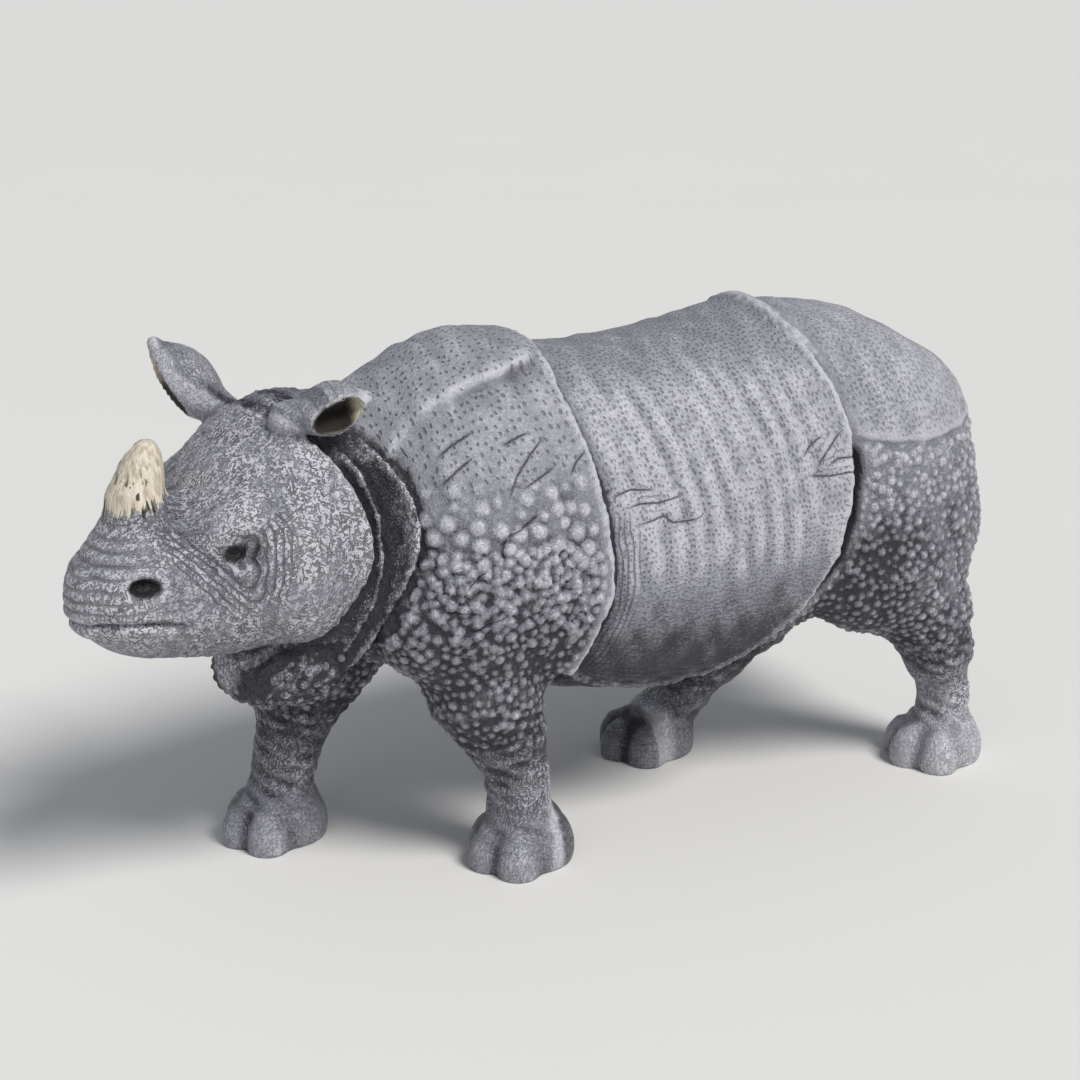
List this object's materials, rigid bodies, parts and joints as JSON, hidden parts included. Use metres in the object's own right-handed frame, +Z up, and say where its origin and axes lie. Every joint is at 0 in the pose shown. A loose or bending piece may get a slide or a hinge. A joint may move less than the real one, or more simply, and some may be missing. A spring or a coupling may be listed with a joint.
{
  "type": "rhinoceros figurine",
  "caption": "Walking one-horned rhinoceros figurine in painted vinyl, with folded armour-like skin, cupped ears and four flat soles.",
  "frame": {"origin": "on the ground, under the middle of the bounding box", "axes": "+Z up, the body along X with the head towards -X, the animal's left side towards -Y"},
  "size_m": [0.1756, 0.0526, 0.0925],
  "materials": {
    "painted_vinyl": "satin-matte, dark grey with a dark wash and pale dry-brushed highlights, horn tip and ear insides ivory"
  },
  "bodies": {
    "root": {"rhinoceros": "painted_vinyl"}
  },
  "joints": []
}
